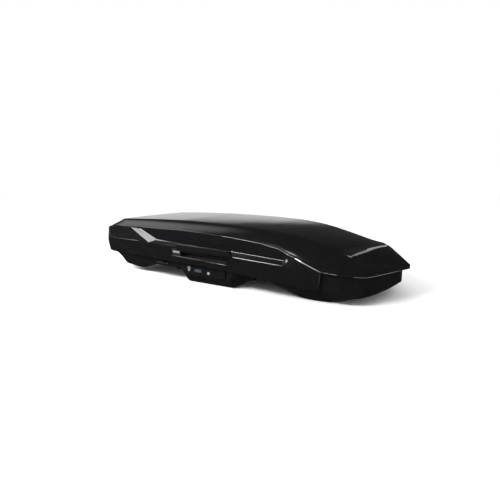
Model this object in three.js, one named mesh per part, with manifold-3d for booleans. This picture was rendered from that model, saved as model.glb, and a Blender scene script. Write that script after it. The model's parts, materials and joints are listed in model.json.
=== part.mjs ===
// Roof cargo box, long dual-opening type, in millimetres.
// +X points to the nose, +Y to the left side, +Z up. The origin is under the middle of the box,
// on the plane that its belly rests on.
import * as THREE from 'three';
import { mergeVertices } from 'three/addons/utils/BufferGeometryUtils.js';
import Module from 'manifold-3d';

const wasm = await Module();
wasm.setup();

// ---------------------------------------------------------------- driving dimensions
const REAR_X = -1075;
const NOSE_X = 1075;
const TUB_REAR_X = -1047;
const TUB_NOSE_X = 1028;
const WALL = 4;
const GAP = 0.4;
const SKIRT_FRONT_X = 672;
const BASE_TOP_CUT_Z = 220;
const SEAT_Z = 96;
const FLOOR_TOP_Z = SEAT_Z + WALL;
const PIN_Y = 434;
const PIN_Z = 118;
const PIN_R = 4;
const BRACKETS_X = [-500, 210];
const BRACKET_HALF = 12;
const TRACK_Y = 270;
const BARS_X = [-450, 205];
const LOCK_X = [-285, 40];
const LOCK_Z = [62, 128];
const LOCK_FACE_Y = 434;
const LATCH_TRAVEL = 25;

// Colours, roughness and metalness of the finishes.
const FINISH = {
  gloss: [0x101012, 0.12, 0],
  satin: [0x141416, 0.4, 0],
  matte: [0x1a1a1c, 0.7, 0],
  grip: [0x1e1e20, 0.55, 0],
  steel: [0x9a9da0, 0.35, 1],
  coated: [0x161618, 0.5, 0.3],
  aluminium: [0xb4b7ba, 0.4, 1],
  accent: [0x2c3a48, 0.4, 0],
  dial: [0x2a2a2c, 0.5, 0],
};

// ---------------------------------------------------------------- shape curves, [x, value]
// Half width of the lid at its widest line, seen from above.
const HALF_WIDTH = [[-1075, 428], [-1060, 432], [-1020, 434], [-982, 436], [-874, 441], [-743, 447],
  [-617, 452], [-430, 457], [0, 456], [320, 452], [476, 446], [600, 438], [680, 429], [767, 410],
  [860, 373], [904, 340], [950, 262], [1000, 160], [1040, 78], [NOSE_X, 6]];
// Height of that widest line.
const BELT_Z = [[-1075, 262], [-743, 262], [-617, 245], [121, 218], [452, 203], [680, 180],
  [904, 168], [NOSE_X, 176]];
// Upper edge of the recessed side panel, and the lid's lower outline in front of it.
const PANEL_TOP_Z = [[-1075, 336], [-1050, 344], [-982, 352], [-826, 356], [-743, 358], [-551, 361],
  [-312, 363], [-138, 356], [25, 347], [177, 334], [309, 321], [414, 299], [476, 274], [520, 260],
  [680, 194], [904, 172], [NOSE_X, 180]];
const PANEL_TOP_INSET = [[-1075, 12], [-982, 24], [-743, 28], [-430, 31], [320, 30], [476, 22],
  [560, 10], [680, 0.5], [NOSE_X, 0.5]];
// Sloped band around the recessed panel: its lower (outer) and upper (inner) edge.
const BAND_LOW_Z = [[-826, 352], [-617, 259], [-431, 251], [121, 225], [452, 209], [500, 256]];
const BAND_HIGH_Z = [[-826, 355], [-743, 352], [-550, 283], [-363, 271], [101, 256], [449, 235],
  [476, 262], [500, 258]];
const PANEL_DEPTH = 24;
// Ridge along the top, its height and distance from the middle.
const RIDGE_Z = [[-1075, 340], [-1050, 358], [-982, 402], [-874, 406], [-688, 413], [-395, 418],
  [-127, 414], [37, 410], [253, 398], [395, 382], [520, 358], [680, 318], [767, 286], [860, 250],
  [939, 226], [1000, 208], [1040, 198], [NOSE_X, 192]];
const RIDGE_Y = [[-1075, 412], [-1050, 391], [-1020, 364], [-982, 341], [-395, 335], [110, 344],
  [320, 344], [476, 330], [600, 308], [680, 295], [767, 280], [860, 250], [904, 226], [950, 172],
  [1000, 104], [1040, 50], [NOSE_X, 4]];
const TOP_Z = [[-1075, 343], [-1050, 361], [-982, 405], [-688, 417], [-395, 422], [-127, 419],
  [37, 416], [173, 412], [253, 409], [395, 399], [500, 386], [600, 369], [719, 349], [837, 326],
  [939, 303], [1000, 261], [1040, 232], [NOSE_X, 205]];
// Lower edge of the side skirts.
const SKIRT_EDGE = [[-1052, 162], [-1018, 156], [-617, 148], [-212, 139], [29, 131], [232, 120],
  [310, 106], [423, 100], [561, 93], [SKIRT_FRONT_X, 87]];

// Lower tub: half width of the wall, height where the wall turns in, and the floor.
const TUB_HALF = [[TUB_REAR_X, 388], [-1018, 398], [-969, 405], [-853, 413], [-700, 419], [-610, 424],
  [300, 424], [413, 420], [520, 414], [591, 411], [672, 407], [767, 388], [860, 348], [904, 316],
  [946, 232], [988, 132], [1010, 76], [TUB_NOSE_X, 36]];
const TUB_TURN_Z = [[TUB_REAR_X, 158], [-1018, 146], [-853, 124], [-610, 110], [-345, 108], [-310, 62],
  [70, 62], [100, 108], [300, 104], [413, 88], [520, 84], [672, 80], [767, 54], [860, 48],
  [946, 62], [988, 74], [TUB_NOSE_X, 98]];
const TUB_FLOOR_HALF = [[TUB_REAR_X, 372], [-1018, 362], [-969, 345], [-780, 345], [-700, 370],
  [-610, 416], [-345, 416], [-310, 376], [70, 376], [100, 416], [300, 410], [413, 370], [520, 350],
  [672, 342], [767, 318], [860, 262], [904, 226], [946, 156], [988, 76],
  [TUB_NOSE_X, 16]];
const TUB_FLOOR_Z = [[TUB_REAR_X, 154], [-1018, 118], [-969, 48], [-853, 32], [-780, 32], [-700, 66],
  [-610, SEAT_Z], [-345, SEAT_Z], [-310, 0], [70, 0], [100, SEAT_Z], [300, SEAT_Z], [413, 50],
  [520, 8], [591, 0], [700, 0], [767, 10], [860, 32], [946, 52], [988, 66],
  [TUB_NOSE_X, 92]];

// Height of the tub's rim, which rises into the lid's nose.
const RIM_Z = [[TUB_REAR_X, 167], [591, 167], [672, 188], [767, 181], [860, 175], [TUB_NOSE_X, 175]];

// Value of a curve at x, with straight runs between its points.
function at(curve, x) {
  if (x <= curve[0][0]) return curve[0][1];
  for (let i = 1; i < curve.length; i++) {
    const [x0, v0] = curve[i - 1];
    const [x1, v1] = curve[i];
    if (x <= x1) return v0 + (v1 - v0) * (x - x0) / (x1 - x0);
  }
  return curve[curve.length - 1][1];
}

// ---------------------------------------------------------------- solids
function solidOf(geometry) {
  const bare = geometry.clone();
  bare.deleteAttribute('normal');
  bare.deleteAttribute('uv');
  const merged = mergeVertices(bare, 1e-4);
  return new wasm.Manifold(new wasm.Mesh({
    numProp: 3,
    vertProperties: new Float32Array(merged.attributes.position.array),
    triVerts: new Uint32Array(merged.index.array),
  }));
}

function geometryOf(solid) {
  const mesh = solid.getMesh();
  const geometry = new THREE.BufferGeometry();
  geometry.setAttribute('position', new THREE.BufferAttribute(new Float32Array(mesh.vertProperties), 3));
  geometry.setIndex(new THREE.BufferAttribute(new Uint32Array(mesh.triVerts), 1));
  return geometry;
}

// A box from its low and high values along each axis.
function block([x0, x1], [y0, y1], [z0, z1]) {
  const geometry = new THREE.BoxGeometry(x1 - x0, y1 - y0, z1 - z0);
  geometry.translate((x0 + x1) / 2, (y0 + y1) / 2, (z0 + z1) / 2);
  return solidOf(geometry);
}

function extruded(points, depth) {
  const shape = new THREE.Shape(points.map(([u, v]) => new THREE.Vector2(u, v)));
  return new THREE.ExtrudeGeometry(shape, { depth, bevelEnabled: false });
}

// An outline in x and z, carried from y0 to y1.
function sidePrism(points, y0, y1) {
  const geometry = extruded(points, y1 - y0);
  geometry.rotateX(Math.PI / 2);
  geometry.translate(0, y1, 0);
  return solidOf(geometry);
}

// An outline in y and z, carried from x0 to x1.
function crossPrism(points, x0, x1) {
  const geometry = extruded(points, x1 - x0);
  const turn = new THREE.Matrix4().makeBasis(
    new THREE.Vector3(0, 1, 0), new THREE.Vector3(0, 0, 1), new THREE.Vector3(1, 0, 0));
  geometry.applyMatrix4(turn);
  geometry.translate(x0, 0, 0);
  return solidOf(geometry);
}

// A cylinder about an axis ('x', 'y' or 'z') through its middle.
function rod(axis, radius, length, [x, y, z], sides = 16) {
  const geometry = new THREE.CylinderGeometry(radius, radius, length, sides);
  if (axis === 'x') geometry.rotateZ(-Math.PI / 2);
  if (axis === 'z') geometry.rotateX(Math.PI / 2);
  geometry.translate(x, y, z);
  return solidOf(geometry);
}

function joined(...solids) {
  return solids.reduce((whole, next) => whole.add(next));
}

// A closed solid through cross-sections; each is a ring of [x, y, z] turning from +Y over +Z.
function loft(rings) {
  const count = rings[0].length;
  const triangles = [];
  for (let s = 0; s + 1 < rings.length; s++) {
    for (let i = 0; i < count; i++) {
      const a = s * count + i;
      const b = s * count + (i + 1) % count;
      triangles.push(a, b, a + count, b, b + count, a + count);
    }
  }
  const ends = [[0, true], [rings.length - 1, false]];
  for (const [s, backwards] of ends) {
    const outline = rings[s].map((p) => new THREE.Vector2(p[1], p[2]));
    for (const [a, b, c] of THREE.ShapeUtils.triangulateShape(outline, [])) {
      const corner = [s * count + a, s * count + b, s * count + c];
      if (backwards) corner.reverse();
      triangles.push(...corner);
    }
  }
  const geometry = new THREE.BufferGeometry();
  geometry.setAttribute('position', new THREE.Float32BufferAttribute(rings.flat(2), 3));
  geometry.setIndex(triangles);
  return solidOf(geometry);
}

// Both halves of a section from its left half, listed from the bottom up to the middle line.
function mirroredRing(x, half) {
  const left = half.map(([y, z]) => [x, y, z]);
  const right = half.slice(0, -1).reverse().map(([y, z]) => [x, -y, z]);
  return [...left, ...right];
}

// ---------------------------------------------------------------- the closed box's upper envelope
const BELOW_ALL_Z = 60;

// Left half of the upper section at x, offset inwards by depth.
function upperHalf(x, depth) {
  const sideways = x > 880 ? depth * 2.3 : depth;
  const width = at(HALF_WIDTH, x);
  const belt = at(BELT_Z, x);
  const panelTop = at(PANEL_TOP_Z, x);
  const ridgeY = at(RIDGE_Y, x);
  const ridgeZ = at(RIDGE_Z, x);
  const topZ = at(TOP_Z, x);
  const topY = width - at(PANEL_TOP_INSET, x);
  const recessed = x > -826 && x < 500;
  const bandLow = recessed ? at(BAND_LOW_Z, x) : panelTop - 2;
  const bandHigh = recessed ? Math.min(at(BAND_HIGH_Z, x), panelTop - 2) : panelTop - 1;
  const rise = Math.max(panelTop - belt, 1);
  const lean = (z) => width - (width - topY) * Math.max(0, (z - belt) / rise);
  const panelY = recessed ? Math.min(lean(bandHigh), width - PANEL_DEPTH) : lean(bandHigh);
  const rows = [
    [width - 3, BELOW_ALL_Z - depth],
    [width, belt],
    [lean(bandLow), bandLow],
    [panelY, bandHigh],
    [topY, panelTop],
    [ridgeY, ridgeZ],
    [ridgeY * 0.55, topZ - (topZ - ridgeZ) * 0.3],
    [0, topZ],
  ];
  const drop = [0, 0, 0, 0, 0.7, 1, 1, 1];
  return rows.map(([y, z], i) => [Math.max(y - (y > 0 ? sideways : 0), 0), z - depth * drop[i]]);
}

const UPPER_STATIONS = [-1075, -1050, -1020, -982, -900, -826, -743, -680, -617, -550, -431, -363, -200,
  -60, 101, 200, 309, 400, 449, 476, 500, 520, 600, 680, 767, 815, 860, 904, 939, 970, 1000, 1040];

function upperEnvelope() {
  const rings = [...UPPER_STATIONS, NOSE_X].map((x) => mirroredRing(x, upperHalf(x, 0)));
  return loft(rings);
}

function upperInside() {
  const stations = [REAR_X + WALL, ...UPPER_STATIONS.slice(1)];
  return loft(stations.map((x) => mirroredRing(x, upperHalf(x, WALL))));
}

const upperShell = upperEnvelope().subtract(upperInside());

// Lower outline of the lid in side view, from the rear to the nose.
const LID_EDGE = [[-1080, 333], [-1050, 343], [-982, 351], [-826, 352], [-617, 259], [-431, 251],
  [121, 225], [452, 209], [500, 256], [520, 258], [680, 194], [904, 172], [1080, 180]];

function lidRegion() {
  return sidePrism([...LID_EDGE, [1080, 500], [-1080, 500]], -500, 500);
}

function skirtRegion() {
  const top = LID_EDGE.filter(([x]) => x < SKIRT_FRONT_X).map(([x, z]) => [x, z - GAP]);
  const front = [[SKIRT_FRONT_X, at(LID_EDGE, SKIRT_FRONT_X) - GAP]];
  const bottom = [...SKIRT_EDGE].reverse();
  return sidePrism([[-1080, 222], ...top, ...front, ...bottom].reverse(), -500, 500);
}

// ---------------------------------------------------------------- lid, skirts and rear panel
const REAR_PANEL_HALF = 330;
const GRIP = { x0: -345, x1: 80, lean: 30, top0: 268, top1: 258, low0: 234, low1: 225 };
const POCKET = [[-394, 190], [60, 170], [84, 223.5], [-414, 244]];

// Outline of the grip bar in side view, grown by a margin all round.
function gripOutline(grow) {
  const { x0, x1, lean, top0, top1, low0, low1 } = GRIP;
  return [[x0 - grow, low0 - grow], [x1 + lean + grow, low1 - grow],
    [x1 + grow, top1 + grow], [x0 - grow, top0 + grow]];
}

// Carries a side-view outline into the wall of one side, side -1 being right and +1 left.
function sideCut(points, side, inner, outer) {
  return side < 0 ? sidePrism(points, -outer, -inner) : sidePrism(points, inner, outer);
}

function lidShell() {
  let lid = upperShell.intersect(lidRegion());
  for (const side of [-1, 1]) {
    lid = lid.subtract(sideCut(gripOutline(GAP), side, 405, 480));
  }
  return lid;
}

function sideSkirt(side) {
  const half = side < 0 ? block([-1100, 700], [-500, -REAR_PANEL_HALF - GAP], [0, 400])
    : block([-1100, 700], [REAR_PANEL_HALF + GAP, 500], [0, 400]);
  return upperShell.intersect(skirtRegion()).intersect(half)
    .subtract(sideCut(gripOutline(GAP), side, 405, 480))
    .subtract(sideCut(POCKET, side, 405, 480));
}

function rearPanel() {
  const middle = block([-1100, -1000], [-REAR_PANEL_HALF, REAR_PANEL_HALF], [0, 400]);
  return upperShell.intersect(skirtRegion()).intersect(middle);
}

function gripBar(side) {
  return sideCut(gripOutline(0), side, 434, 458);
}

// Trough behind the grip bar, where the fingers go in, with a solid end that carries the badge.
const CUP = { x0: -418, x1: 92, hollow0: -322, face: 445.5, back: 395 };

function handleCup(side) {
  const { x0, x1, hollow0, face, back } = CUP;
  const span = (low, high) => (side < 0 ? [-high, -low] : [low, high]);
  const body = joined(
    block([x0, x1], span(back, face), [180, 224]),
    block([x0, -352], span(back, face), [180, 246]),
    block([x0, x1], span(back, 423), [180, 274]));
  const hollow = joined(
    block([hollow0, x1 - WALL], span(back + WALL, 460), [184, 220]),
    block([hollow0, x1 - WALL], span(back + WALL, 440), [184, 270]));
  return body.subtract(hollow);
}

function badgePlate(side) {
  const plate = [[-388, 208], [-328, 205.5], [-328, 219.5], [-388, 222]];
  return sideCut(plate, side, CUP.face + GAP, CUP.face + GAP + 1.6);
}

function skirtRivet(side, x, z) {
  const skirtFace = at(HALF_WIDTH, x) + GAP;
  return rod('y', 6, 3, [x, side * (skirtFace + 1.5), z], 12);
}

// Stiffening rail along the lid's inside, with ears that turn on the hinge pins.
function lidRail(side) {
  const span = (low, high) => (side < 0 ? [-high, -low] : [low, high]);
  const across = span(PIN_Y - 7.5, PIN_Y + 7.5);
  let rail = block([-560, 270], span(427, 444), [172, 177]);
  for (const x of BRACKETS_X) {
    for (const end of [-1, 1]) {
      const near = x + end * (BRACKET_HALF + 0.5);
      const far = x + end * (BRACKET_HALF + 3.5);
      rail = rail.add(block([Math.min(near, far), Math.max(near, far)], across, [PIN_Z - 4, 174]));
    }
  }
  return rail.subtract(pinSlot(side));
}

// Room for the hinge pins, open downwards so that the side can lift off.
function pinSlot(side) {
  const clear = PIN_R + 0.5;
  const slot = side < 0 ? [-PIN_Y - clear, -PIN_Y + clear] : [PIN_Y - clear, PIN_Y + clear];
  return joined(
    block([-700, 400], slot, [PIN_Z - 20, PIN_Z]),
    rod('x', clear, 1100, [-150, side * PIN_Y, PIN_Z], 16));
}

// Bow under the lid's top, following its inside.
function lidBow(x) {
  const clear = 2.5;
  const thick = 12;
  const outer = upperHalf(x, WALL + clear).slice(4);
  const inner = upperHalf(x, WALL + clear + thick).slice(4);
  outer[0][0] -= 3;
  inner[0][0] -= 3;
  const left = [...outer];
  const right = outer.slice(0, -1).reverse().map(([y, z]) => [-y, z]);
  const backLeft = inner.slice(0, -1).reverse().map(([y, z]) => [-y, z]).reverse();
  const backRight = [...inner].reverse();
  return crossPrism([...left, ...right, ...backLeft, ...backRight], x - 12, x + 12);
}

// ---------------------------------------------------------------- tub
function tubHalf(x, depth, top) {
  const sideways = x > 880 ? depth * 2.2 : depth;
  const wall = at(TUB_HALF, x) - sideways;
  const floorHalf = Math.min(at(TUB_FLOOR_HALF, x) - sideways * 0.6, wall - 1);
  const floorZ = at(TUB_FLOOR_Z, x) + depth;
  return { wall, turnZ: at(TUB_TURN_Z, x) + depth * 0.4, floorHalf, floorZ, top };
}

// Ring of the tub at x, from the middle of the floor round over the top.
function tubRing(x, depth, top) {
  const { wall, turnZ, floorHalf, floorZ } = tubHalf(x, depth, top);
  return [[x, floorHalf, floorZ], [x, wall, turnZ], [x, wall, top],
    [x, -wall, top], [x, -wall, turnZ], [x, -floorHalf, floorZ]];
}

const TUB_STATIONS = [-1018, -969, -853, -780, -700, -610, -345, -310, 70, 100, 300, 413, 520, 591,
  672, 700, 767, 815, 860, 904, 946, 988, 1010];

function baseShell() {
  const outside = loft([TUB_REAR_X, ...TUB_STATIONS, TUB_NOSE_X].map((x) => tubRing(x, 0, at(RIM_Z, x))));
  const inside = loft([TUB_REAR_X + WALL, ...TUB_STATIONS].map((x) => tubRing(x, WALL, BASE_TOP_CUT_Z)));
  let shell = outside.subtract(inside);
  for (const x of BARS_X) {
    for (const side of [-1, 1]) {
      shell = shell.subtract(clampSlot(x, side));
    }
  }
  for (const side of [-1, 1]) {
    shell = shell.subtract(latchWindow(side));
  }
  return shell;
}

// Opening in the floor that a clamp's jaws reach down through.
function clampSlot(x, side) {
  return block([x - 82, x + 82], [side * TRACK_Y - 13, side * TRACK_Y + 13], [80, 130]);
}

// Small opening in the wall where the outside slider joins the latch rail.
function latchWindow(side) {
  const across = side < 0 ? [-430, -415] : [415, 430];
  return block([-275, -215], across, [96, 112]);
}

// Aluminium channel on the floor that two clamps slide in.
function track(side) {
  const middle = side * TRACK_Y;
  const floor = FLOOR_TOP_Z + GAP;
  const channel = block([-600, 292], [middle - 37, middle + 37], [floor, floor + 16]);
  const inside = block([-700, 400], [middle - 34, middle + 34], [floor + 3, floor + 30]);
  let rail = channel.subtract(inside);
  for (const x of BARS_X) {
    rail = rail.subtract(clampSlot(x, side));
  }
  return rail;
}

// Steel pin with a foot at each end that stands on the tub's wall.
function hingePin(side, x) {
  const span = (low, high) => (side < 0 ? [-high, -low] : [low, high]);
  const reach = 55;
  const foot = (at0, at1) => block([at0, at1], span(424 + GAP, PIN_Y + 3), [PIN_Z - 7, PIN_Z + 7]);
  return joined(
    rod('x', PIN_R, reach * 2, [x, side * PIN_Y, PIN_Z], 16),
    foot(x - reach, x - reach + 14),
    foot(x + reach - 14, x + reach));
}

// Hook that sits on a hinge pin, reaches over the rim and ends in a foot for the latch.
function bracket(side, x) {
  const span = (low, high) => (side < 0 ? [-high, -low] : [low, high]);
  const along = [x - BRACKET_HALF, x + BRACKET_HALF];
  const hook = joined(
    block(along, span(PIN_Y - 7.5, PIN_Y + 7.5), [PIN_Z - 4, PIN_Z + 12]),
    block(along, span(427, 430.5), [PIN_Z + 6, 170.6]),
    block(along, span(404, 430.5), [168, 170.6]),
    block(along, span(404, 407), [157, 170]),
    block(along, span(404, 412), [157, 160]));
  return hook.subtract(pinSlot(side));
}

// Bar inside the tub's wall with one finger for each bracket.
function latchRail(side) {
  const span = (low, high) => (side < 0 ? [-high, -low] : [low, high]);
  let rail = block([-560, 260], span(413, 419.4), [134, 146]);
  for (const x of BRACKETS_X) {
    const finger = [x - BRACKET_HALF - LATCH_TRAVEL - 1, x - BRACKET_HALF - 1];
    rail = rail.add(block(finger, span(413, 419.4), [144, 165]));
    rail = rail.add(block(finger, span(408.5, 419.4), [161.5, 165]));
  }
  rail = rail.add(block([-266, -252], span(413, 419.4), [99, 140]));
  return rail.add(block([-264, -254], span(413, 425.5), [99, 109]));
}

// Moulded panel on the tub's wall that holds the lock.
function lockHousing(side) {
  const outline = [[LOCK_X[0], 70], [LOCK_X[0] + 8, LOCK_Z[0]], [LOCK_X[1] - 20, LOCK_Z[0]],
    [LOCK_X[1], 80], [LOCK_X[1] - 6, LOCK_Z[1]], [LOCK_X[0] + 12, LOCK_Z[1]]];
  const slot = [[-276, 86], [-221, 86], [-221, 122], [-276, 122]];
  return sideCut(outline, side, 424 + GAP, LOCK_FACE_Y)
    .subtract(sideCut(slot, side, 420, 440))
    .subtract(rod('y', 10, 8, [-93, side * (LOCK_FACE_Y - 1), 92], 20));
}

function lockSlider(side) {
  const span = (low, high) => (side < 0 ? [-high, -low] : [low, high]);
  return joined(
    sideCut([[-268, 117], [-262, 117], [-251, 91], [-257, 91]], side, 432, 440),
    block([-269, -250], span(427.5, 433), [88, 120]));
}

function statusLabel(side) {
  const outline = [[-210, 89], [-152, 89], [-152, 108], [-210, 108]];
  return sideCut(outline, side, LOCK_FACE_Y + GAP, LOCK_FACE_Y + 1.6);
}

function keyCylinder(side) {
  const face = side * (LOCK_FACE_Y + 2.5);
  const slotDepth = side < 0 ? [face - 1, face + 3] : [face - 3, face + 1];
  return rod('y', 9.4, 7, [-93, side * (LOCK_FACE_Y - 1), 92], 20)
    .subtract(block([-94.2, -91.8], slotDepth, [87, 97]));
}

// ---------------------------------------------------------------- clamps
const CLAMP_Z = FLOOR_TOP_Z + GAP + 3 + GAP;
const KNOB_Z = CLAMP_Z + 42;

function clampCarriage(x, side) {
  const y = side * TRACK_Y;
  return joined(
    block([x - 58, x + 58], [y - 33, y + 33], [CLAMP_Z, CLAMP_Z + 8]),
    rod('z', 30, 30, [x, y, CLAMP_Z + 21], 20),
    rod('z', 8, 8, [x, y, CLAMP_Z + 37], 12));
}

function clampKnob(x, side) {
  const y = side * TRACK_Y;
  const disc = rod('z', 34, 16, [x, y, KNOB_Z + 4], 24);
  const bar = block([x - 33, x + 33], [y - 7, y + 7], [KNOB_Z + 10, KNOB_Z + 26]);
  return disc.add(bar).subtract(rod('z', 8.6, 24, [x, y, KNOB_Z - 8], 12));
}

// Hooked jaw under the floor; end is -1 at the rear of the bar and +1 in front of it.
function clampJaw(x, side, end) {
  const y = side * TRACK_Y;
  const pivot = x + end * 52;
  const outline = [[-7, 12], [7, 12], [9, -20], [5, -42], [-16, -46], [-16, -40], [-4, -35], [-6, -12]];
  const points = outline.map(([u, v]) => [pivot + end * u, SEAT_Z + v - 6]);
  return sidePrism(end < 0 ? points : points.reverse(), y - 9, y + 9);
}

// ---------------------------------------------------------------- assembly
const box = new THREE.Group();

function place(name, solid, finish) {
  const [color, roughness, metalness] = FINISH[finish];
  const material = new THREE.MeshStandardMaterial({ color, roughness, metalness });
  const mesh = new THREE.Mesh(geometryOf(solid), material);
  mesh.name = name;
  box.add(mesh);
}

place('lid_shell', lidShell(), 'gloss');
place('rear_panel', rearPanel(), 'satin');
place('lid_bow_rear', lidBow(-420), 'matte');
place('lid_bow_front', lidBow(240), 'matte');
place('base_shell', baseShell(), 'matte');

const SIDES = [['right', -1], ['left', 1]];
const ENDS = ['rear', 'front'];
for (const [word, side] of SIDES) {
  place(`side_skirt_${word}`, sideSkirt(side), 'satin');
  place(`grip_bar_${word}`, gripBar(side), 'grip');
  place(`handle_cup_${word}`, handleCup(side), 'matte');
  place(`badge_plate_${word}`, badgePlate(side), 'steel');
  place(`skirt_rivet_${word}_rear`, skirtRivet(side, 539, 189), 'grip');
  place(`skirt_rivet_${word}_front`, skirtRivet(side, 597, 187), 'grip');
  place(`lid_rail_${word}`, lidRail(side), 'coated');
  place(`track_${word}`, track(side), 'aluminium');
  place(`latch_rail_${word}`, latchRail(side), 'coated');
  place(`lock_housing_${word}`, lockHousing(side), 'grip');
  place(`lock_slider_${word}`, lockSlider(side), 'accent');
  place(`status_label_${word}`, statusLabel(side), 'accent');
  place(`key_cylinder_${word}`, keyCylinder(side), 'steel');
  BRACKETS_X.forEach((x, i) => {
    place(`hinge_pin_${word}_${ENDS[i]}`, hingePin(side, x), 'coated');
    place(`bracket_${word}_${ENDS[i]}`, bracket(side, x), 'coated');
  });
  BARS_X.forEach((x, i) => {
    const spot = `${ENDS[i]}_${word}`;
    place(`clamp_carriage_${spot}`, clampCarriage(x, side), 'matte');
    place(`clamp_knob_${spot}`, clampKnob(x, side), 'dial');
    place(`clamp_jaw_${spot}_behind`, clampJaw(x, side, -1), 'coated');
    place(`clamp_jaw_${spot}_ahead`, clampJaw(x, side, 1), 'coated');
  });
}

export default box;
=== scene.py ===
"""Looks of the roof cargo box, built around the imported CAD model.

Metres unless a comment says millimetres; +X is the nose, +Y left, +Z up.
"""
import json
import math

import bmesh
import bpy
import numpy as np
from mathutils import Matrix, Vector


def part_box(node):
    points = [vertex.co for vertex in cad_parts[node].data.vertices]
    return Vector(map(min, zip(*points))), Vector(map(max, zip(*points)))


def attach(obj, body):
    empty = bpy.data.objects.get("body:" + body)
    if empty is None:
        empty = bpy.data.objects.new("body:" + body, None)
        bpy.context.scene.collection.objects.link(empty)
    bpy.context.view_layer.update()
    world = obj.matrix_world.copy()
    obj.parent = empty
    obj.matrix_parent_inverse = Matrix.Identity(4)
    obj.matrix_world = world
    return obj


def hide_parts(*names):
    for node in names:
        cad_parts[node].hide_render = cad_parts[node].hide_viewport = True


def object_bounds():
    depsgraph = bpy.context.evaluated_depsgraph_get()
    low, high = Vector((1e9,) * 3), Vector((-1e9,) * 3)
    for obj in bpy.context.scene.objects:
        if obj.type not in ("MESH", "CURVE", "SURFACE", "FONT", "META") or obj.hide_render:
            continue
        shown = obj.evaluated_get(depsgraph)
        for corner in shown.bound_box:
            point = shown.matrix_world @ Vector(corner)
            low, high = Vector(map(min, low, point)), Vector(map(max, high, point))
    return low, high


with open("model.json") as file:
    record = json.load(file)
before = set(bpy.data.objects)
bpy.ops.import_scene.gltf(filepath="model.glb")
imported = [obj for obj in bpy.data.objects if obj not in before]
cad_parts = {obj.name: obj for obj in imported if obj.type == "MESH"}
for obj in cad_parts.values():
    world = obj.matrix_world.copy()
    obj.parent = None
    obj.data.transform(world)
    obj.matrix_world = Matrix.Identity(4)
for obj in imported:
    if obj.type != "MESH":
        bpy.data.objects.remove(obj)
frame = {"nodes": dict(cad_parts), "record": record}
CAD_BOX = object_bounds()
SIDES = (("right", -1), ("left", 1))
MM = 0.001


# ---------------------------------------------------------------- camera, light and floor
CAMERA_AT = (1.4257, -2.4064, 0.6987)
CAMERA_YAW = math.radians(31.3)
CAMERA_PITCH = math.radians(10.3)
CAMERA_LENS = 27.8


def make_camera():
    """A camera ahead of the box's right side, looking back at it from a little above."""
    data = bpy.data.cameras.new("camera")
    data.sensor_width = 36
    data.lens = CAMERA_LENS
    camera = bpy.data.objects.new("camera", data)
    camera.location = CAMERA_AT
    camera.rotation_euler = (math.pi / 2 - CAMERA_PITCH, 0, CAMERA_YAW)
    bpy.context.scene.collection.objects.link(camera)
    bpy.context.scene.camera = camera


# What the box mirrors: a pale strip low behind it, and a patch of haze high behind it.
HORIZON_TOWARD = (-0.95, 0.30, 0.0)
HORIZON_FADE = (0.56, 0.70)
HORIZON_TOP = (0.09, 0.20)
HORIZON_FOOT = (-0.05, 0.0)
HORIZON_STRENGTH = 0.85
BASE_STRENGTH = 0.05
HAZE_TOWARD = (-0.722, 0.030, 0.691)
HAZE_FADE = (0.93, 1.0)
HAZE_STRENGTH = 1.1


def make_world():
    """White to the eye and to the floor; nearly black, with a pale strip and haze, to mirrors."""
    world = bpy.data.worlds.new("studio")
    bpy.context.scene.world = world
    world.use_nodes = True
    tree = world.node_tree
    nodes, links = tree.nodes, tree.links
    nodes.clear()
    out = nodes.new("ShaderNodeOutputWorld")
    coords = nodes.new("ShaderNodeTexCoord")
    split = nodes.new("ShaderNodeSeparateXYZ")
    links.new(coords.outputs["Generated"], split.inputs[0])

    def facing(direction):
        """How far a ray points in a direction."""
        node = nodes.new("ShaderNodeVectorMath")
        node.operation = "DOT_PRODUCT"
        node.inputs[1].default_value = direction
        links.new(coords.outputs["Generated"], node.inputs[0])
        return node.outputs["Value"]

    def ramp(source, reach, to_min=0.0, to_max=1.0, smooth=True):
        """A fade from to_min to to_max while the source goes through its reach."""
        node = nodes.new("ShaderNodeMapRange")
        node.inputs["From Min"].default_value, node.inputs["From Max"].default_value = reach
        node.inputs["To Min"].default_value = to_min
        node.inputs["To Max"].default_value = to_max
        if smooth:
            node.interpolation_type = "SMOOTHSTEP"
        links.new(source, node.inputs["Value"])
        return node.outputs[0]

    def maths(operation, *terms):
        """A sum or product of sockets and numbers."""
        node = nodes.new("ShaderNodeMath")
        node.operation = operation
        for socket, term in zip(node.inputs, terms):
            if isinstance(term, float):
                socket.default_value = term
            else:
                links.new(term, socket)
        return node.outputs[0]

    below_top = ramp(split.outputs["Z"], HORIZON_TOP, 1.0, 0.0)
    above_foot = ramp(split.outputs["Z"], HORIZON_FOOT, smooth=False)
    behind = ramp(facing(HORIZON_TOWARD), HORIZON_FADE)
    horizon = maths("MULTIPLY", maths("MULTIPLY", below_top, above_foot), behind)
    glow = maths("MULTIPLY_ADD", horizon, HORIZON_STRENGTH, BASE_STRENGTH)
    haze = ramp(facing(HAZE_TOWARD), HAZE_FADE, 0.0, HAZE_STRENGTH)

    mirrored = nodes.new("ShaderNodeBackground")
    links.new(maths("ADD", glow, haze), mirrored.inputs["Strength"])
    plain = nodes.new("ShaderNodeBackground")
    plain.inputs["Color"].default_value = (1, 1, 1, 1)
    plain.inputs["Strength"].default_value = 1.0
    path = nodes.new("ShaderNodeLightPath")
    mix = nodes.new("ShaderNodeMixShader")
    links.new(path.outputs["Is Glossy Ray"], mix.inputs["Fac"])
    links.new(plain.outputs[0], mix.inputs[1])
    links.new(mirrored.outputs[0], mix.inputs[2])
    links.new(mix.outputs[0], out.inputs["Surface"])


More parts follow.
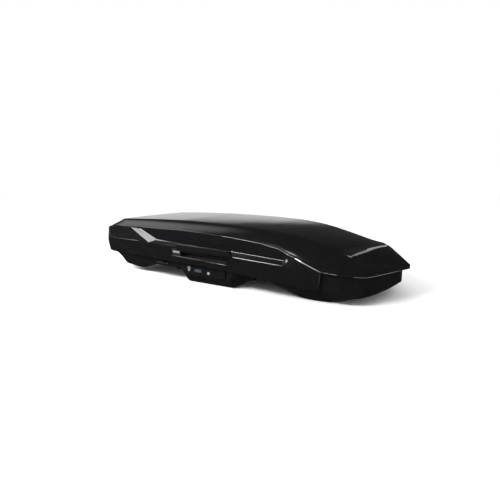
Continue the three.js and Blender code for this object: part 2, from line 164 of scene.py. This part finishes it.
def area_light(name, toward, distance, size, energy, only=None):
    """A soft rectangular light that shines at the box, or only at some pieces, from a direction."""
    data = bpy.data.lights.new(name, "AREA")
    data.shape = "RECTANGLE"
    data.size, data.size_y = size
    data.energy = energy
    light = bpy.data.objects.new(name, data)
    direction = Vector(toward).normalized()
    middle = (CAD_BOX[0] + CAD_BOX[1]) / 2
    light.location = middle + direction * distance
    light.rotation_euler = (-direction).to_track_quat("-Z", "Y").to_euler()
    bpy.context.scene.collection.objects.link(light)
    if only:
        lit = bpy.data.collections.new(name + "_receivers")
        for piece in only:
            lit.objects.link(piece)
        light.light_linking.receiver_collection = lit


def make_lights(edges, step):
    """Two softboxes for the whole box, and four cards that light only its edges or hood step."""
    area_light("side_softbox", (-0.25, -0.78, 0.57), 3.6, (1.8, 0.7), 140)
    area_light("facet_softbox", (-0.70, -0.58, 0.415), 3.97, (1.7, 1.0), 34)
    area_light("edge_card", (0.10, -0.89, 0.44), 3.4, (2.4, 1.4), 60, edges)
    area_light("low_card", (0.627, -0.778, -0.02), 3.24, (1.4, 1.4), 60, edges)
    area_light("nose_card", (0.80, -0.25, 0.52), 3.0, (2.4, 1.4), 25, edges)
    area_light("hood_card", (0.73, 0.45, 0.52), 3.0, (3.0, 2.4), 60, [step, *edges])


FLOOR_SIZE = 40
FLOOR_GAP = 0.001


def make_floor():
    """A wide white floor just under the belly, which the box does not mirror."""
    below = CAD_BOX[0].z - FLOOR_GAP
    bpy.ops.mesh.primitive_plane_add(size=FLOOR_SIZE, location=(0, 0, below))
    floor = bpy.context.object
    floor.name = "studio_floor"
    floor.visible_glossy = False
    material = bpy.data.materials.new("floor_paper")
    material.use_nodes = True
    shader = material.node_tree.nodes["Principled BSDF"]
    shader.inputs["Base Color"].default_value = (1.0, 1.0, 1.0, 1)
    shader.inputs["Roughness"].default_value = 0.9
    shader.inputs["Specular IOR Level"].default_value = 0.0
    floor.data.materials.append(material)


# ---------------------------------------------------------------- materials
COAT_ROUGHNESS = 0.04
CLOUD_SCALE = 9
TONE_SPREAD = 0.25
GLOSS_SPREAD = 0.15
GRAIN_DEPTH = 0.0004


def plastic(name, color, roughness, grain, bump, coat=0.0, metallic=0.0):
    """Moulded plastic or metal: fine grain in its bump, and slight unevenness of tone and gloss."""
    material = bpy.data.materials.new(name)
    material.use_nodes = True
    nodes, links = material.node_tree.nodes, material.node_tree.links
    shader = nodes["Principled BSDF"]
    shader.inputs["Metallic"].default_value = metallic
    shader.inputs["Coat Weight"].default_value = coat
    shader.inputs["Coat Roughness"].default_value = COAT_ROUGHNESS
    coords = nodes.new("ShaderNodeTexCoord")

    clouds = nodes.new("ShaderNodeTexNoise")
    clouds.inputs["Scale"].default_value = CLOUD_SCALE
    clouds.inputs["Detail"].default_value = 3
    links.new(coords.outputs["Object"], clouds.inputs["Vector"])
    tone = nodes.new("ShaderNodeMix")
    tone.data_type = "RGBA"
    low = [c * (1 - TONE_SPREAD) for c in color]
    high = [c * (1 + TONE_SPREAD) for c in color]
    tone.inputs["A"].default_value = (*low, 1)
    tone.inputs["B"].default_value = (*high, 1)
    links.new(clouds.outputs["Fac"], tone.inputs["Factor"])
    links.new(tone.outputs["Result"], shader.inputs["Base Color"])

    gloss = nodes.new("ShaderNodeMapRange")
    gloss.inputs["To Min"].default_value = roughness * (1 - GLOSS_SPREAD)
    gloss.inputs["To Max"].default_value = roughness * (1 + GLOSS_SPREAD)
    links.new(clouds.outputs["Fac"], gloss.inputs["Value"])
    links.new(gloss.outputs[0], shader.inputs["Roughness"])

    fine = nodes.new("ShaderNodeTexNoise")
    fine.inputs["Scale"].default_value = grain
    fine.inputs["Detail"].default_value = 2
    links.new(coords.outputs["Object"], fine.inputs["Vector"])
    relief = nodes.new("ShaderNodeBump")
    relief.inputs["Strength"].default_value = bump
    relief.inputs["Distance"].default_value = GRAIN_DEPTH
    links.new(fine.outputs["Fac"], relief.inputs["Height"])
    links.new(relief.outputs["Normal"], shader.inputs["Normal"])
    return material


def make_materials():
    """One material for each of the record's slots."""
    return {
        "gloss_shell": plastic("gloss_black", (0.0035, 0.0035, 0.004), 0.15, 70, 0.03, coat=0.6),
        "satin_panel": plastic("satin_black", (0.004, 0.004, 0.0045), 0.15, 500, 0.04),
        "tub_plastic": plastic("tub_black", (0.004, 0.004, 0.0045), 0.28, 900, 0.15),
        "inner_plastic": plastic("inner_black", (0.005, 0.005, 0.0055), 0.6, 700, 0.2),
        "grip_plastic": plastic("grip_black", (0.004, 0.004, 0.0045), 0.25, 1100, 0.2),
        "dial_plastic": plastic("dial_grey", (0.03, 0.03, 0.033), 0.45, 800, 0.2),
        "bright_trim": plastic("badge_silver", (0.42, 0.43, 0.45), 0.35, 900, 0.1, metallic=0.7),
        "lock_marks": plastic("slider_grey", (0.16, 0.165, 0.17), 0.4, 900, 0.1),
        "status_field": plastic("status_blue_grey", (0.035, 0.042, 0.06), 0.3, 900, 0.1),
        "key_metal": plastic("key_nickel", (0.30, 0.30, 0.31), 0.5, 1500, 0.2, metallic=0.3),
        "steel_parts": plastic("coated_steel", (0.006, 0.006, 0.0065), 0.5, 1200, 0.3),
        "track_aluminium": plastic("track_metal", (0.62, 0.63, 0.65), 0.38, 1400, 0.3,
                                   metallic=1.0),
    }


# ---------------------------------------------------------------- shape curves, millimetres
# Each curve holds (x, value) pairs from tail to nose.
TAIL, NOSE = -1075, 1075
HALF_WIDTH = [(-1075, 428), (-1060, 432), (-1020, 434), (-982, 436), (-874, 441), (-743, 447),
              (-617, 452), (-430, 457), (0, 456), (320, 452), (476, 446), (600, 438), (680, 429),
              (767, 410), (860, 373), (904, 340), (950, 262), (1000, 160), (1040, 78), (1075, 6)]
BELT_Z = [(-1075, 262), (-743, 262), (-617, 245), (121, 218), (452, 203), (680, 180),
          (904, 168), (1075, 176)]
PANEL_TOP_Z = [(-1075, 336), (-1050, 344), (-982, 352), (-826, 356), (-743, 358), (-551, 361),
               (-312, 363), (-138, 356), (25, 347), (177, 334), (309, 321), (414, 299), (476, 274),
               (520, 260), (680, 194), (904, 172), (1075, 180)]
PANEL_TOP_INSET = [(-1075, 12), (-982, 24), (-743, 28), (-430, 31), (320, 30), (476, 22),
                   (560, 10), (680, 0.5), (1075, 0.5)]
BAND_HIGH_Z = [(-743, 352), (-550, 283), (-363, 271), (101, 256), (449, 235), (476, 262)]
RIDGE_Z = [(-1075, 340), (-1050, 358), (-982, 402), (-874, 406), (-688, 413), (-395, 418),
           (-127, 414), (37, 410), (253, 398), (395, 382), (520, 358), (680, 318), (767, 286),
           (860, 250), (939, 226), (1000, 208), (1040, 198), (1075, 192)]
RIDGE_Y = [(-1075, 412), (-1050, 391), (-1020, 364), (-982, 341), (-395, 335), (110, 344),
           (320, 344), (476, 330), (600, 308), (680, 295), (767, 280), (860, 250), (904, 226),
           (950, 172), (1000, 104), (1040, 50), (1075, 4)]
TOP_Z = [(-1075, 343), (-1050, 361), (-982, 405), (-688, 416), (-395, 421), (-127, 418), (37, 415),
         (173, 411), (253, 408), (395, 398), (500, 385), (600, 368), (719, 348), (837, 325),
         (939, 303), (1000, 261), (1040, 232), (1075, 205)]
SKIRT_EDGE = [(-1052, 162), (-1018, 156), (-617, 148), (-212, 139), (29, 131), (232, 120),
              (310, 106), (423, 100), (561, 93), (672, 87)]
LID_EDGE = [(-1075, 334), (-1050, 343), (-982, 351), (-826, 352), (-617, 259), (-431, 251),
            (121, 225), (452, 209), (500, 256), (520, 258), (680, 194), (904, 172), (1075, 180)]
# The recessed side panel: where its band starts and ends, its rear facet and its depth.
BAND_START, FACET_END, BAND_END = -743, -550, 476
FACET_INNER_Y = [(-743, 409), (-550, 431)]
PANEL_DEPTH = 24
PANEL_RUN_OUT = 20
# How the crown falls to the ridge, and how far the ridge is rounded and the shoulder bulges.
CROWN_POWER = 2.2
RIDGE_BLEND = [(-1075, 6), (250, 7), (560, 90), (900, 90), (1075, 8)]
SHOULDER_BULGE = [(-1075, 0), (-982, 4), (300, 7), (600, 16), (860, 14), (1040, 5), (1075, 0)]
# How far along the box the lengthwise curves are rounded at x.
ROUNDING = [(-1075, 8), (-960, 10), (-880, 70), (640, 70), (760, 45), (900, 18), (960, 12)]
WALL = 4 * MM


# How far the outline's own corners are rounded, and the least heights left to panel and band.
OUTLINE_ROUNDING = 14
PANEL_LEAST, BAND_LEAST = 3, 1


def straight(curve, x):
    """Value of a curve at x, with straight runs between its points."""
    return float(np.interp(x, [p[0] for p in curve], [p[1] for p in curve]))


def soft(curve, x, reach):
    """The same curve with its corners rounded over reach to each side."""
    steps = np.linspace(-reach, reach, 9)
    weights = 1 - np.abs(steps) / (reach * 1.1)
    xs = [p[0] for p in curve]
    vs = [p[1] for p in curve]
    near_end = min(x - xs[0], xs[-1] - x)
    shrink = min(1.0, max(near_end, 0.0) / reach)
    return float(np.dot(np.interp(x + steps * shrink, xs, vs), weights) / weights.sum())


def half_width(x):
    """Half the box's width at x, at the belt line."""
    return soft(HALF_WIDTH, x, OUTLINE_ROUNDING)


def lid_edge(x):
    """Height of the lid's lower edge at x."""
    return straight(LID_EDGE, x)


# ---------------------------------------------------------------- mesh helpers
WELD = 0.05 * MM
SIDE_FROM = 360 * MM
SMOOTH_ANGLE = 38
SKIN_ROUND = 1.6 * MM
TUB_ROUND = 2.2 * MM
NODE_ANGLE = 40
NODE_ROUND = 1.5 * MM


def bowed(a, b, count, bulge):
    """Points from a up to but not including b, bowed outwards by bulge at the middle."""
    a, b = np.array(a, float), np.array(b, float)
    run = b - a
    out = np.array([0.0, run[2], -run[1]])
    length = np.linalg.norm(out)
    out = out / length if length > 1e-9 else out
    points = []
    for i in range(count):
        t = i / count
        points.append(a + run * t + out * bulge * 4 * t * (1 - t))
    return points


def corner(before, at, after, reach, count):
    """Points that round the corner at, starting and ending reach away from it."""
    before, at, after = (np.array(p, float) for p in (before, at, after))

    def towards(p):
        """The point at reach from the corner, or short of the middle when p is near."""
        run = p - at
        length = np.linalg.norm(run)
        return at + run / max(length, 1e-9) * min(reach, length * 0.45)

    start, end = towards(before), towards(after)
    points = []
    for i in range(count + 1):
        t = i / count
        points.append(start * (1 - t) ** 2 + at * 2 * t * (1 - t) + end * t ** 2)
    return points


def grid_mesh(name, columns, close_start=False, close_end=False):
    """A mesh through columns of equally many points, in millimetres; ends may be closed across."""
    mesh = bmesh.new()
    rows = len(columns[0])
    verts = [[mesh.verts.new(Vector(p) * MM) for p in column] for column in columns]
    for a, b in zip(verts, verts[1:]):
        for i in range(rows - 1):
            mesh.faces.new((a[i], b[i], b[i + 1], a[i + 1]))
    for closed, column, turned in ((close_start, verts[0], False), (close_end, verts[-1], True)):
        if closed:
            for i in range(rows // 2):
                face = [column[i], column[i + 1], column[rows - 2 - i], column[rows - 1 - i]]
                face = list(dict.fromkeys(face))
                if len(face) > 2:
                    mesh.faces.new(face[::-1] if turned else face)
    bmesh.ops.remove_doubles(mesh, verts=mesh.verts, dist=WELD)
    bmesh.ops.recalc_face_normals(mesh, faces=mesh.faces)
    data = bpy.data.meshes.new(name)
    mesh.to_mesh(data)
    mesh.free()
    piece = bpy.data.objects.new(name, data)
    bpy.context.scene.collection.objects.link(piece)
    return piece


def settle(piece):
    """Replaces a piece's mesh with the result of its modifiers."""
    graph = bpy.context.evaluated_depsgraph_get()
    data = bpy.data.meshes.new_from_object(piece.evaluated_get(graph))
    piece.modifiers.clear()
    piece.data = data


def thicken(piece, thickness):
    """Gives an open skin its wall, on the inside and within the CAD model's length."""
    shell = piece.modifiers.new("thickness", "SOLIDIFY")
    shell.thickness = thickness
    shell.offset = -1
    shell.use_even_offset = False
    settle(piece)
    for vert in piece.data.vertices:
        vert.co.x = min(max(vert.co.x, CAD_BOX[0].x), CAD_BOX[1].x)


def round_edges(piece, width, angle):
    """Small round edges along every corner sharper than an angle."""
    edges = piece.modifiers.new("edges", "BEVEL")
    edges.width = width
    edges.segments = 2
    edges.limit_method = "ANGLE"
    edges.angle_limit = math.radians(angle)


def shade_smooth(piece, angle):
    """Smooth shading that stops at corners sharper than an angle."""
    piece.data.polygons.foreach_set("use_smooth", [True] * len(piece.data.polygons))
    piece.data.set_sharp_from_angle(angle=math.radians(angle))


def soften(piece, width):
    """Small round edges and smooth shading."""
    round_edges(piece, width, SMOOTH_ANGLE)
    shade_smooth(piece, SMOOTH_ANGLE)


def flip_if(piece, inwards):
    """Turns an open skin's faces when most of their area, as inwards weighs it, faces inwards."""
    if sum(inwards(face) * face.area for face in piece.data.polygons) > 0:
        piece.data.flip_normals()


def face_outwards(piece):
    """Turns an open skin's faces away from the box's middle line."""
    flip_if(piece, lambda face: -face.normal.y * face.center.y)


def carve(piece, outline, side):
    """Cuts a convex side-view outline out of one side of an open skin."""
    mesh = bmesh.new()
    mesh.from_mesh(piece.data)
    corners = [Vector((x * MM, 0, z * MM)) for x, z in outline]
    middle = sum(corners, Vector()) / len(corners)
    reach = max((c - middle).length for c in corners) + 0.02
    planes = []
    for a, b in zip(corners, corners[1:] + corners[:1]):
        normal = (b - a).cross(Vector((0, 1, 0))).normalized()
        planes.append((a, normal if normal.dot(middle - a) < 0 else -normal))

    def nearby():
        """The faces of this side that the outline may reach."""
        centres = ((face, face.calc_center_median()) for face in mesh.faces)
        return [face for face, c in centres if c.y * side > SIDE_FROM
                and Vector((c.x - middle.x, 0, c.z - middle.z)).length < reach]

    for point, normal in planes:
        faces = nearby()
        parts = set(faces)
        for face in faces:
            parts.update(face.edges)
            parts.update(face.verts)
        bmesh.ops.bisect_plane(mesh, geom=list(parts), plane_co=point, plane_no=normal, dist=1e-6)
    inside = [face for face in nearby()
              if all((face.calc_center_median() - p).dot(n) < 0 for p, n in planes)]
    bmesh.ops.delete(mesh, geom=inside, context="FACES")
    mesh.to_mesh(piece.data)
    mesh.free()


def dress(piece, body, material, replaced=()):
    """Gives a new piece its body and material, and hides the CAD nodes it stands for."""
    piece.data.materials.clear()
    piece.data.materials.append(material)
    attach(piece, body)
    if replaced:
        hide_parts(*replaced)


# ---------------------------------------------------------------- lid
# Where each feature row runs along x, for the same column of the mesh.
LOW_X = [(-1075, -1075), (-982, -880), (-826, -826), (520, 520), (1075, 1075)]
HIGH_X = [(-1075, -1075), (-982, -862), (-826, -743), (-617, -550), (-431, -363), (121, 101),
          (452, 449), (500, 476), (520, 520), (1075, 1075)]
TOP_X = [(-1075, -1075), (-982, -850), (-826, -738), (-617, -560), (-431, -420), (121, 121),
         (452, 449), (500, 478), (520, 520), (1075, 1075)]


def side_y(x, z):
    """Distance of the lid's side from the middle at x and z, before the panel is recessed."""
    belt = straight(BELT_Z, x)
    top = straight(PANEL_TOP_Z, x)
    share = max(0.0, (z - belt) / max(top - belt, 1))
    return half_width(x) - soft(PANEL_TOP_INSET, x, 30) * min(share, 1.0)


def lid_column(u):
    """Points of the lid's left half at column u, from its lower edge up to the middle line."""
    x_low, x_high, x_top = straight(LOW_X, u), straight(HIGH_X, u), straight(TOP_X, u)
    z_low = lid_edge(x_low)
    z_top = max(soft(PANEL_TOP_Z, x_top, 12), lid_edge(x_top) + PANEL_LEAST)
    banded = BAND_START <= x_high < BAND_END
    z_high = straight(BAND_HIGH_Z, x_high) if banded else z_low + 0.5 * (z_top - z_low)
    z_high = min(z_high, z_top - BAND_LEAST)
    low = (x_low, side_y(x_low, z_low), z_low)
    y_high = side_y(x_high, z_high)
    if banded:
        deep = half_width(x_high) - PANEL_DEPTH
        if x_high < FACET_END:
            deep = straight(FACET_INNER_Y, x_high)
        ramp = min(1.0, (BAND_END - x_high) / PANEL_RUN_OUT)
        y_high = min(y_high, deep * ramp + y_high * (1 - ramp))
    high = (x_high, y_high, z_high)
    top = (x_top, side_y(x_top, z_top), z_top)
    reach = straight(ROUNDING, u)
    y_ridge = soft(RIDGE_Y, u, reach)
    z_ridge = soft(RIDGE_Z, u, reach)
    z_mid = soft(TOP_Z, u, reach)
    ridge = (u, y_ridge, z_ridge)
    crown = [(u, y_ridge * (1 - t), z_mid - (z_mid - z_ridge) * (1 - t) ** CROWN_POWER)
             for t in np.linspace(0, 1, 15)]
    column = [np.array(low)]
    column += bowed(low, high, 3, 0)[1:]
    column += corner(low, high, top, 1.5, 2)
    column += bowed(high, top, 7, 0)[1:]
    column += corner(high, top, ridge, 2.2, 3)
    column += bowed(top, ridge, 10, straight(SHOULDER_BULGE, u))[1:]
    column += corner(top, ridge, crown[2], straight(RIDGE_BLEND, u), 6)
    column += [np.array(p) for p in crown[2:]]
    return column


def both_sides(column):
    """The left half's points followed by the right half's, from edge to edge."""
    right = [np.array((p[0], -p[1], p[2])) for p in column[:-1]]
    return column + right[::-1]


def stations(start, stop, step, extra):
    """Evenly spaced values with every corner of the outlines among them."""
    values = set(np.round(np.arange(start, stop, step), 1)) | {stop} | set(extra)
    return sorted(values)


LID_CORNERS = [-1050, -982, -826, -743, -617, -550, -431, -363, 101, 121, 449, 452, 476, 500, 520,
               680, 904]


def make_lid(materials):
    """The lid's skin from tail to nose, open where the hands reach in."""
    columns = [both_sides(lid_column(u)) for u in stations(TAIL, NOSE, 11, LID_CORNERS)]
    lid = grid_mesh("lid_skin", columns, close_start=True, close_end=True)
    for _, side in SIDES:
        carve(lid, GRIP, side)
    thicken(lid, WALL)
    soften(lid, SKIN_ROUND)
    dress(lid, "lid", materials["gloss_shell"], ["lid_shell"])


# Line of the step across the hood, seen from above, from its tip in the middle to its near end.
HOOD_STEP = [(0, 939), (170, 860), (270, 802), (332, 767)]
HOOD_STEP_HEIGHT = 5.0
HOOD_STEP_RUN_OUT = 90
HOOD_STEP_SUNK = 0.3
HOOD_STEP_WALL = 0.6 * MM
# Its tip is blunted by this much over this width.
HOOD_TIP_BLUNT, HOOD_TIP_WIDTH = 8, 12
# Its section: distance ahead of the line, and share of the height.
HOOD_STEP_SECTION = ((5.0, 0.0), (3.4, 0.36), (1.6, 0.72), (0.0, 0.93), (-3.0, 1.0),
                     (-12.0, 0.9), (-30.0, 0.5), (-50.0, 0.15), (-66.0, 0.0))


def lid_surface(x, y):
    """Height of the lid's outside at x, ahead of the side panels, and y."""
    column = [p for p in lid_column(x) if p[2] > lid_edge(x) + 1]
    column.sort(key=lambda p: p[1])
    return float(np.interp(abs(y), [p[1] for p in column], [p[2] for p in column]))


def make_hood_step(materials):
    """A raised edge shaped like an arrowhead that crosses the hood."""
    columns = []
    end = HOOD_STEP[-1][0]
    for y in np.linspace(2 - end, end - 2, 121):
        x = straight(HOOD_STEP, abs(y)) - HOOD_TIP_BLUNT * math.exp(-abs(y) / HOOD_TIP_WIDTH)
        height = HOOD_STEP_HEIGHT * min(1.0, (end - abs(y)) / HOOD_STEP_RUN_OUT) + HOOD_STEP_SUNK
        column = []
        for ahead, share in HOOD_STEP_SECTION:
            z = lid_surface(x + ahead, y) + height * share - HOOD_STEP_SUNK
            column.append((x + ahead, y, z))
        columns.append(column)
    step = grid_mesh("hood_step", columns)
    flip_if(step, lambda face: -face.normal.z)
    thicken(step, HOOD_STEP_WALL)
    shade_smooth(step, 60)
    dress(step, "lid", materials["gloss_shell"])
    return step


# ---------------------------------------------------------------- skirts
# Outlines of the hand-hold and of the recess under it, seen from the side.
GRIP = [(-346, 233), (111, 224), (81, 259), (-346, 269)]
POCKET = [(-394, 190), (60, 170), (84, 223.5), (-414, 244)]
SKIRT_GAP = 1.2
SKIRT_BOTTOM_X = [(-1075, -1052), (-1000, -1000), (600, 600), (676, 664)]
SKIRT_CORNERS = [-826, -617, -431, 121, 452, 500, 520]
SKIRT_END = 676
# Heights of the belt under the top and of the knee, with its place at the tail's corner.
BELT_DROP, KNEE_RISE = 6, 8
TAIL_CORNER, TAIL_KNEE_Z = -1040, 222
FOOT_TUCK, KNEE_TUCK = 3, 1
# The belt line is sharper behind this x.
SHARP_BELT_TO, SHARP_CREASE, SOFT_CREASE = -700, 6, 16
REAR_PANEL_HALF = 330
REAR_GAP = 1.5


def skirt_column(u, y_rear=None):
    """Points of the left skirt from its lower edge up; on the rear wall y_rear is their y."""
    x_low = straight(SKIRT_BOTTOM_X, u)
    z_low = soft(SKIRT_EDGE, x_low, 8)
    z_top = lid_edge(u) - SKIRT_GAP
    z_belt = min(straight(BELT_Z, u), z_top - BELT_DROP)
    y_low, y_belt, y_top = half_width(x_low) - FOOT_TUCK, half_width(u), side_y(u, z_top)
    if y_rear is not None:
        y_low = y_belt = y_top = y_rear
    low = (x_low, y_low, z_low)
    at_corner = u < TAIL_CORNER
    z_knee = max(z_low + KNEE_RISE, TAIL_KNEE_Z) if at_corner else (z_low + z_belt) / 2
    knee = (u, y_belt - KNEE_TUCK, z_knee)
    belt = (u, y_belt, z_belt)
    top = (u, y_top, z_top)
    crease = SHARP_CREASE if u < SHARP_BELT_TO else SOFT_CREASE
    column = [np.array(low)]
    column += bowed(low, knee, 4, 0)[1:]
    column += corner(low, knee, belt, 6, 2)
    column += bowed(knee, belt, 4, 0)[1:]
    column += corner(knee, belt, top, crease, 3)
    column += bowed(belt, top, 7, 0)[1:]
    return column + [np.array(top)]


def make_skirt(word, side, materials):
    """One side's skirt, from the rear panel round the corner to its seam behind the nose."""
    rear_wall = np.linspace(REAR_PANEL_HALF + REAR_GAP, 420, 5)
    columns = [skirt_column(TAIL, y) for y in rear_wall]
    columns += [skirt_column(u) for u in stations(TAIL, SKIRT_END, 9, SKIRT_CORNERS)]
    columns = [[(p[0], side * p[1], p[2]) for p in column] for column in columns]
    skirt = grid_mesh(f"side_skirt_skin_{word}", columns)
    face_outwards(skirt)
    carve(skirt, GRIP, side)
    carve(skirt, POCKET, side)
    thicken(skirt, WALL)
    soften(skirt, SKIN_ROUND)
    dress(skirt, "lid", materials["satin_panel"], [f"side_skirt_{word}"])


def make_rear_panel(materials):
    """The panel between the two skirts, across the tail."""
    column = skirt_column(TAIL, 0.0)
    columns = [[(p[0], y, p[2]) for p in column]
               for y in np.linspace(-REAR_PANEL_HALF, REAR_PANEL_HALF, 13)]
    panel = grid_mesh("rear_panel_skin", columns)
    flip_if(panel, lambda face: face.normal.x)
    thicken(panel, WALL)
    soften(panel, SKIN_ROUND)
    dress(panel, "lid", materials["satin_panel"], ["rear_panel"])


# ---------------------------------------------------------------- moulded edges
BELT_NORMAL = (0.0, 0.86, 0.51)
TURNING_RISE = 0.5
STRIP_WALL = 0.8 * MM
# A strip starts at this share of its width and is full after this many points.
STRIP_TIP, STRIP_TAPER = 0.25, 3


def edge_strip(name, path, outwards, width, side, material):
    """A narrow chamfer along a line; outwards is its normal on the left side, or None to turn."""
    points = [Vector(p) for p in path]
    columns = []
    for i, point in enumerate(points):
        run = (points[min(i + 1, len(points) - 1)] - points[max(i - 1, 0)]).normalized()
        normal = Vector(outwards or (-run.y, run.x, TURNING_RISE)).normalized()
        across = normal.cross(run).normalized()
        from_end = min(i, len(points) - 1 - i)
        taper = min(1.0, STRIP_TIP + (1 - STRIP_TIP) * from_end / STRIP_TAPER)
        half = across * width / 2 * taper
        columns.append([tuple(point - half), tuple(point + half)])
    columns = [[(p[0], side * p[1], p[2]) for p in column] for column in columns]
    strip = grid_mesh(name, columns)
    face_outwards(strip)
    thicken(strip, STRIP_WALL)
    dress(strip, "lid", material)
    return strip


def make_edges(materials):
    """Chamfers of the lid's lip, the skirt's front end, the belt line and the grip recess.

    The ones at the lip and the front end are handed back, for the cards to light.
    """
    gloss, satin = materials["gloss_shell"], materials["satin_panel"]
    slope = [(x, side_y(x, lid_edge(x)) + 0.6, lid_edge(x) + 1) for x in np.linspace(520, 680, 14)]
    lip = [(x, half_width(x) + 0.3, lid_edge(x) + 1) for x in np.linspace(684, 1040, 40)]
    seam = [(x, straight(HALF_WIDTH, x) - 0.2, z)
            for x, z in zip(np.linspace(678, 667, 10), np.linspace(189, 90, 10))]
    belt = [(x, straight(HALF_WIDTH, x) + 0.2, straight(BELT_Z, x))
            for x in np.linspace(-1060, -716, 24)]
    recess = [(x, straight(HALF_WIDTH, x) - 0.4, straight(POCKET[:2], x) - 1)
              for x in np.linspace(POCKET[0][0], POCKET[1][0], 24)]
    band = [(x, side_y(x, lid_edge(x)) + 0.4, lid_edge(x) - 0.5) for x in np.linspace(100, 446, 24)]
    strips = []
    for word, side in SIDES:
        strips.append(edge_strip(f"lip_slope_edge_{word}", slope, (0.23, 0.91, 0.34), 7, side,
                                 gloss))
        strips.append(edge_strip(f"lip_edge_{word}", lip, None, 2.4, side, gloss))
        strips.append(edge_strip(f"skirt_end_edge_{word}", seam, (0.45, 0.88, 0.13), 4, side,
                                 satin))
        edge_strip(f"belt_edge_{word}", belt, BELT_NORMAL, 3.5, side, satin)
        edge_strip(f"recess_edge_{word}", recess, BELT_NORMAL, 2.6, side, satin)
        edge_strip(f"band_edge_{word}", band, BELT_NORMAL, 2.4, side, satin)
    return strips


# ---------------------------------------------------------------- tub
SEAT_Z = 96
TUB_HALF = [(-1047, 388), (-1018, 398), (-969, 405), (-853, 413), (-700, 419), (-610, 424),
            (300, 424), (413, 420), (520, 414), (591, 411), (672, 407), (767, 388), (860, 348),
            (904, 316), (946, 232), (988, 132), (1010, 76), (1028, 36)]
TUB_TURN_Z = [(-1047, 158), (-1018, 146), (-853, 124), (-610, 110), (-345, 108), (-310, 62),
              (70, 62), (100, 108), (300, 104), (413, 88), (520, 84), (672, 80), (767, 54),
              (860, 48), (946, 62), (988, 74), (1028, 98)]
TUB_FLOOR_HALF = [(-1047, 372), (-1018, 362), (-969, 345), (-780, 345), (-700, 370), (-610, 416),
                  (-345, 416), (-310, 376), (70, 376), (100, 416), (300, 410), (413, 370),
                  (520, 350), (672, 342), (767, 318), (860, 262), (904, 226), (946, 156),
                  (988, 76), (1028, 16)]
TUB_FLOOR_Z = [(-1047, 154), (-1018, 118), (-969, 48), (-853, 32), (-780, 32), (-700, 66),
               (-610, SEAT_Z), (-345, SEAT_Z), (-310, 0), (70, 0), (100, SEAT_Z), (300, SEAT_Z),
               (413, 50), (520, 8), (591, 0), (700, 0), (767, 10), (860, 32), (946, 52),
               (988, 66), (1028, 92)]
RIM_Z = [(-1047, 167), (591, 167), (672, 188), (767, 181), (860, 175), (1028, 175)]


def tub_column(x):
    """Points of the tub's left half at x, from the rim down to the middle of the floor."""
    wall = soft(TUB_HALF, x, 10)
    rim = (x, wall, straight(RIM_Z, x))
    turn = (x, wall, soft(TUB_TURN_Z, x, 10))
    edge = (x, min(soft(TUB_FLOOR_HALF, x, 12), wall - 2), soft(TUB_FLOOR_Z, x, 9))
    middle = (x, 0, edge[2])
    column = [np.array(rim)]
    column += bowed(rim, turn, 4, 0)[1:]
    column += corner(rim, turn, edge, 9, 4)
    column += bowed(turn, edge, 5, 0)[1:]
    column += corner(turn, edge, middle, 12, 4)
    column += bowed(edge, middle, 7, 0)[1:]
    return column + [np.array(middle)]


def make_tub(materials):
    """The tub's skin, open at the top."""
    knees = [p[0] for p in TUB_FLOOR_Z]
    columns = [both_sides(tub_column(x)) for x in stations(-1047, 1028, 9, knees)]
    tub = grid_mesh("tub_skin", columns, close_start=True, close_end=True)
    thicken(tub, WALL)
    soften(tub, TUB_ROUND)
    dress(tub, "base", materials["tub_plastic"], ["base_shell"])


# ---------------------------------------------------------------- carried-over CAD nodes
def finish_nodes(materials):
    """Every CAD node gets its slot's material and small round edges."""
    slots = {row["node"]: row["material_slot"] for row in frame["record"]["subparts"]}
    for name, node in frame["nodes"].items():
        node.data.materials.clear()
        node.data.materials.append(materials[slots[name]])
        size = min(high - low for low, high in zip(*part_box(name)))
        round_edges(node, min(NODE_ROUND, size * 0.2), NODE_ANGLE)


# ---------------------------------------------------------------- scene
make_camera()
make_world()
make_floor()
bpy.context.scene.view_settings.view_transform = "Standard"
MATERIALS = make_materials()
finish_nodes(MATERIALS)
make_lid(MATERIALS)
hood_step = make_hood_step(MATERIALS)
for side_word, side_sign in SIDES:
    make_skirt(side_word, side_sign, MATERIALS)
make_rear_panel(MATERIALS)
make_tub(MATERIALS)
make_lights(make_edges(MATERIALS), hood_step)
